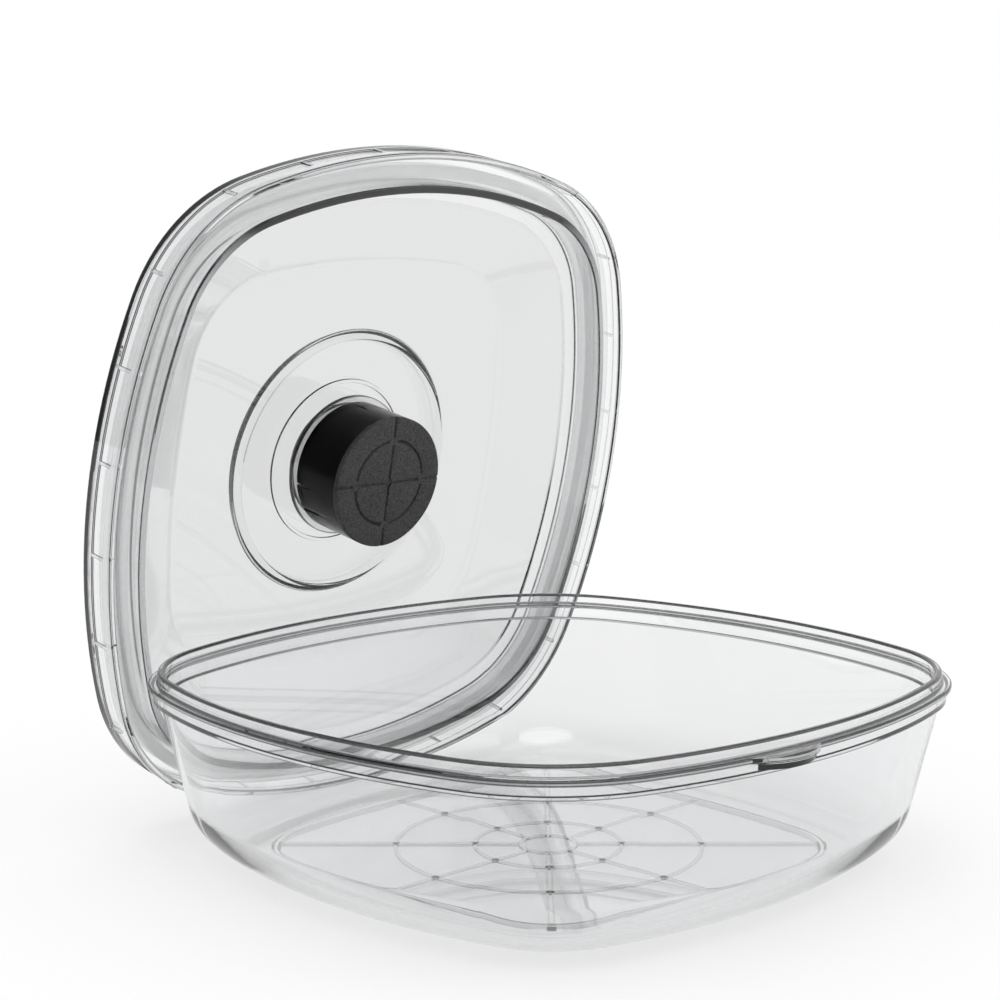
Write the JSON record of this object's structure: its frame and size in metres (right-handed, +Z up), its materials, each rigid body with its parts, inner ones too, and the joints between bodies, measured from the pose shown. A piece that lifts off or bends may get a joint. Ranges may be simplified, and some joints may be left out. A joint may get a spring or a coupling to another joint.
{
  "type": "vacuum food storage container",
  "caption": "Clear rounded-square bowl with a thumb tab, and its clear domed lid with a built-in hand vacuum pump, shown off the bowl and leaning on its rim.",
  "frame": {"origin": "on the table, under the middle of the whole part (bowl with the lid leaning behind it)", "axes": "+Z up, +X along the bowl's sides, +Y from the side with the thumb tab towards the leaning lid"},
  "size_m": [0.2576, 0.2648, 0.2476],
  "materials": {
    "clear_plastic": "clear, polished mould finish",
    "clear_knob_plastic": "clear, lightly tinted by its thickness",
    "clear_silicone": "translucent, satin",
    "black_plastic": "black, satin gloss",
    "charcoal_plastic": "charcoal, fine spark-eroded grain",
    "felt": "pressed fibre",
    "spring_steel": "drawn wire, bright"
  },
  "bodies": {
    "bowl": {"bowl": "clear_plastic"},
    "lid": {"lid": "clear_plastic", "lid_gasket": "clear_silicone", "pump_barrel": "black_plastic", "barrel_seal": "clear_silicone", "intake_cap": "charcoal_plastic", "intake_filter": "felt", "intake_valve": "clear_silicone", "guide_collar": "black_plastic", "collar_wiper": "clear_silicone", "return_spring": "spring_steel"},
    "pump": {"piston": "black_plastic", "piston_seal": "clear_silicone", "outlet_valve": "clear_silicone", "piston_screw": "spring_steel", "piston_rod": "black_plastic", "pump_knob": "clear_knob_plastic"},
    "release": {"release_plug": "clear_silicone", "release_knob": "clear_knob_plastic"}
  },
  "joints": [
    {"name": "lid_away", "type": "slide", "parent": "bowl", "child": "lid", "axis": [0, 0.9813, 0.1925], "range_m": [0, 0.15]},
    {"name": "pump_stroke", "type": "slide", "parent": "lid", "child": "pump", "axis": [0, 0.9813, 0.1925], "range_m": [0, 0.01]},
    {"name": "release_pull", "type": "slide", "parent": "lid", "child": "release", "axis": [0, 0.9813, 0.1925], "range_m": [0, 0.003]}
  ]
}
